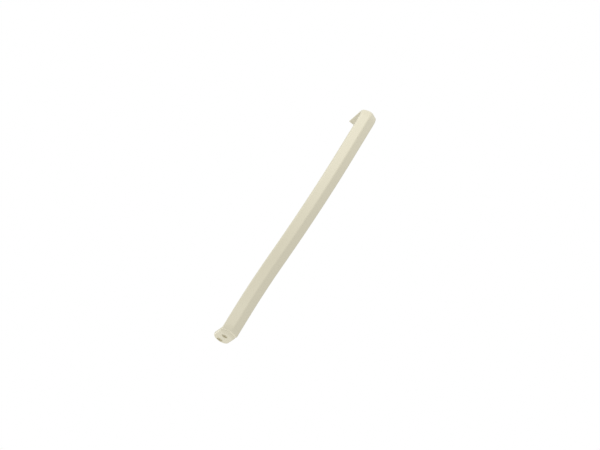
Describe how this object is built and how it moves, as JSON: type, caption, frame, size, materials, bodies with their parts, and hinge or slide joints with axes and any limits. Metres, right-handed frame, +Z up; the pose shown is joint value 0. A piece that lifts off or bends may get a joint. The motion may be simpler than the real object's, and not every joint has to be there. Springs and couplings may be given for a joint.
{
  "type": "refrigerator door handle",
  "caption": "Long pull handle for a refrigerator door: a ridged bar that swings out from the door, turns back at a rounded nose and foot, with a screw tongue under the door edge.",
  "frame": {"origin": "midway between the tongue's two screw holes, on the upper face of the tongue, where the door's lower edge rests", "axes": "+Z up along the bar and out of the tongue's upper face, +Y from the room into the door, +X to the right when facing the door; the handle is symmetric in X"},
  "size_m": [0.0264, 0.1026, 0.4385],
  "materials": {
    "handle_plastic": "satin moulded almond plastic"
  },
  "bodies": {
    "root": {"handle": "handle_plastic"}
  },
  "joints": []
}
